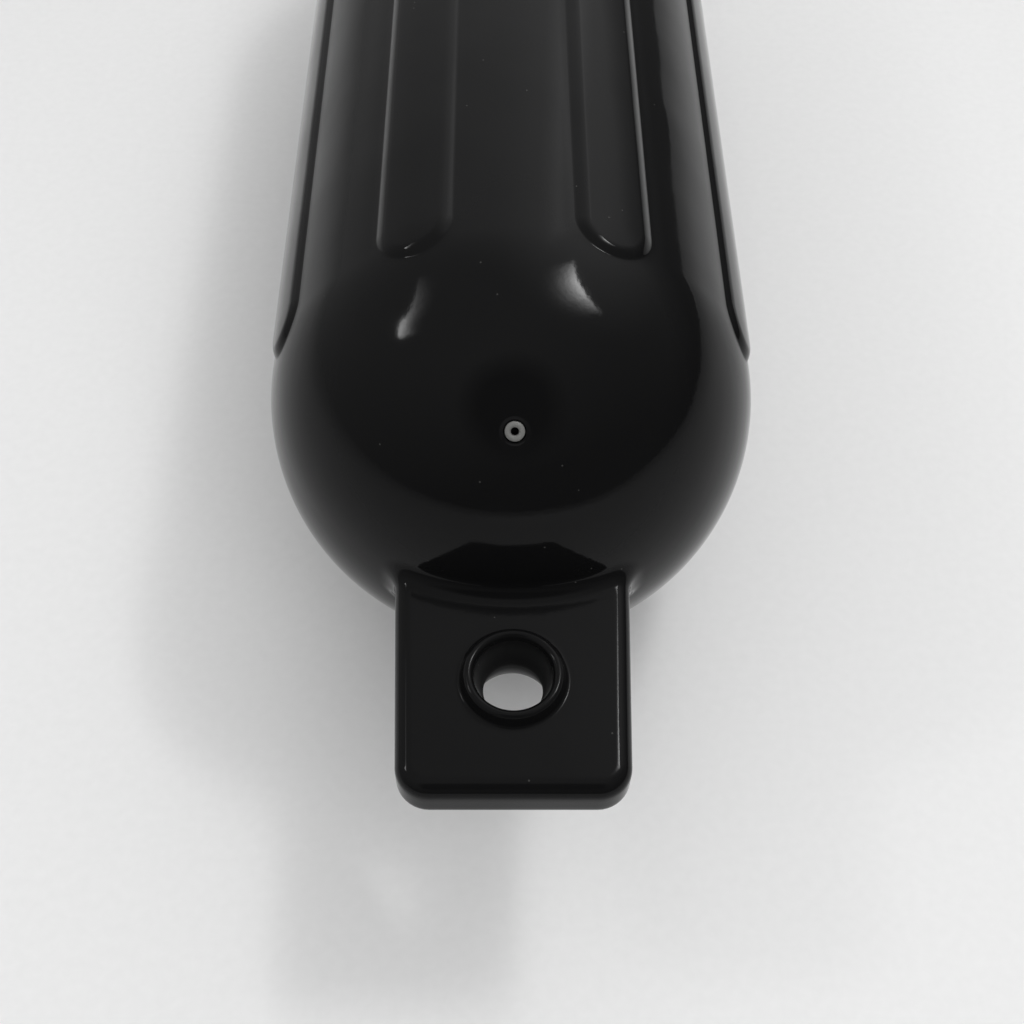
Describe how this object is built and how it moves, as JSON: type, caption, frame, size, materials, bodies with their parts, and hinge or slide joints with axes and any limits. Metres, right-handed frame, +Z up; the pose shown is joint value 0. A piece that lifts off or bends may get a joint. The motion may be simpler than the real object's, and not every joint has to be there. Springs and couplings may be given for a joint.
{
  "type": "pneumatic fender",
  "caption": "Ribbed inflatable boat fender with domed ends, a rope eye in a flat tab at each end and a needle valve for inflation.",
  "frame": {"origin": "under the middle of the fender, on the surface that it lies on", "axes": "+Y along the fender's long axis, away from the end with the inflation valve; +Z up, square to the flat tabs; X across"},
  "size_m": [0.1612, 0.585, 0.1611],
  "materials": {
    "fender_pvc": "gloss",
    "valve_grey": "satin"
  },
  "bodies": {
    "root": {"fender_body": "fender_pvc", "inflation_valve": "valve_grey"}
  },
  "joints": []
}
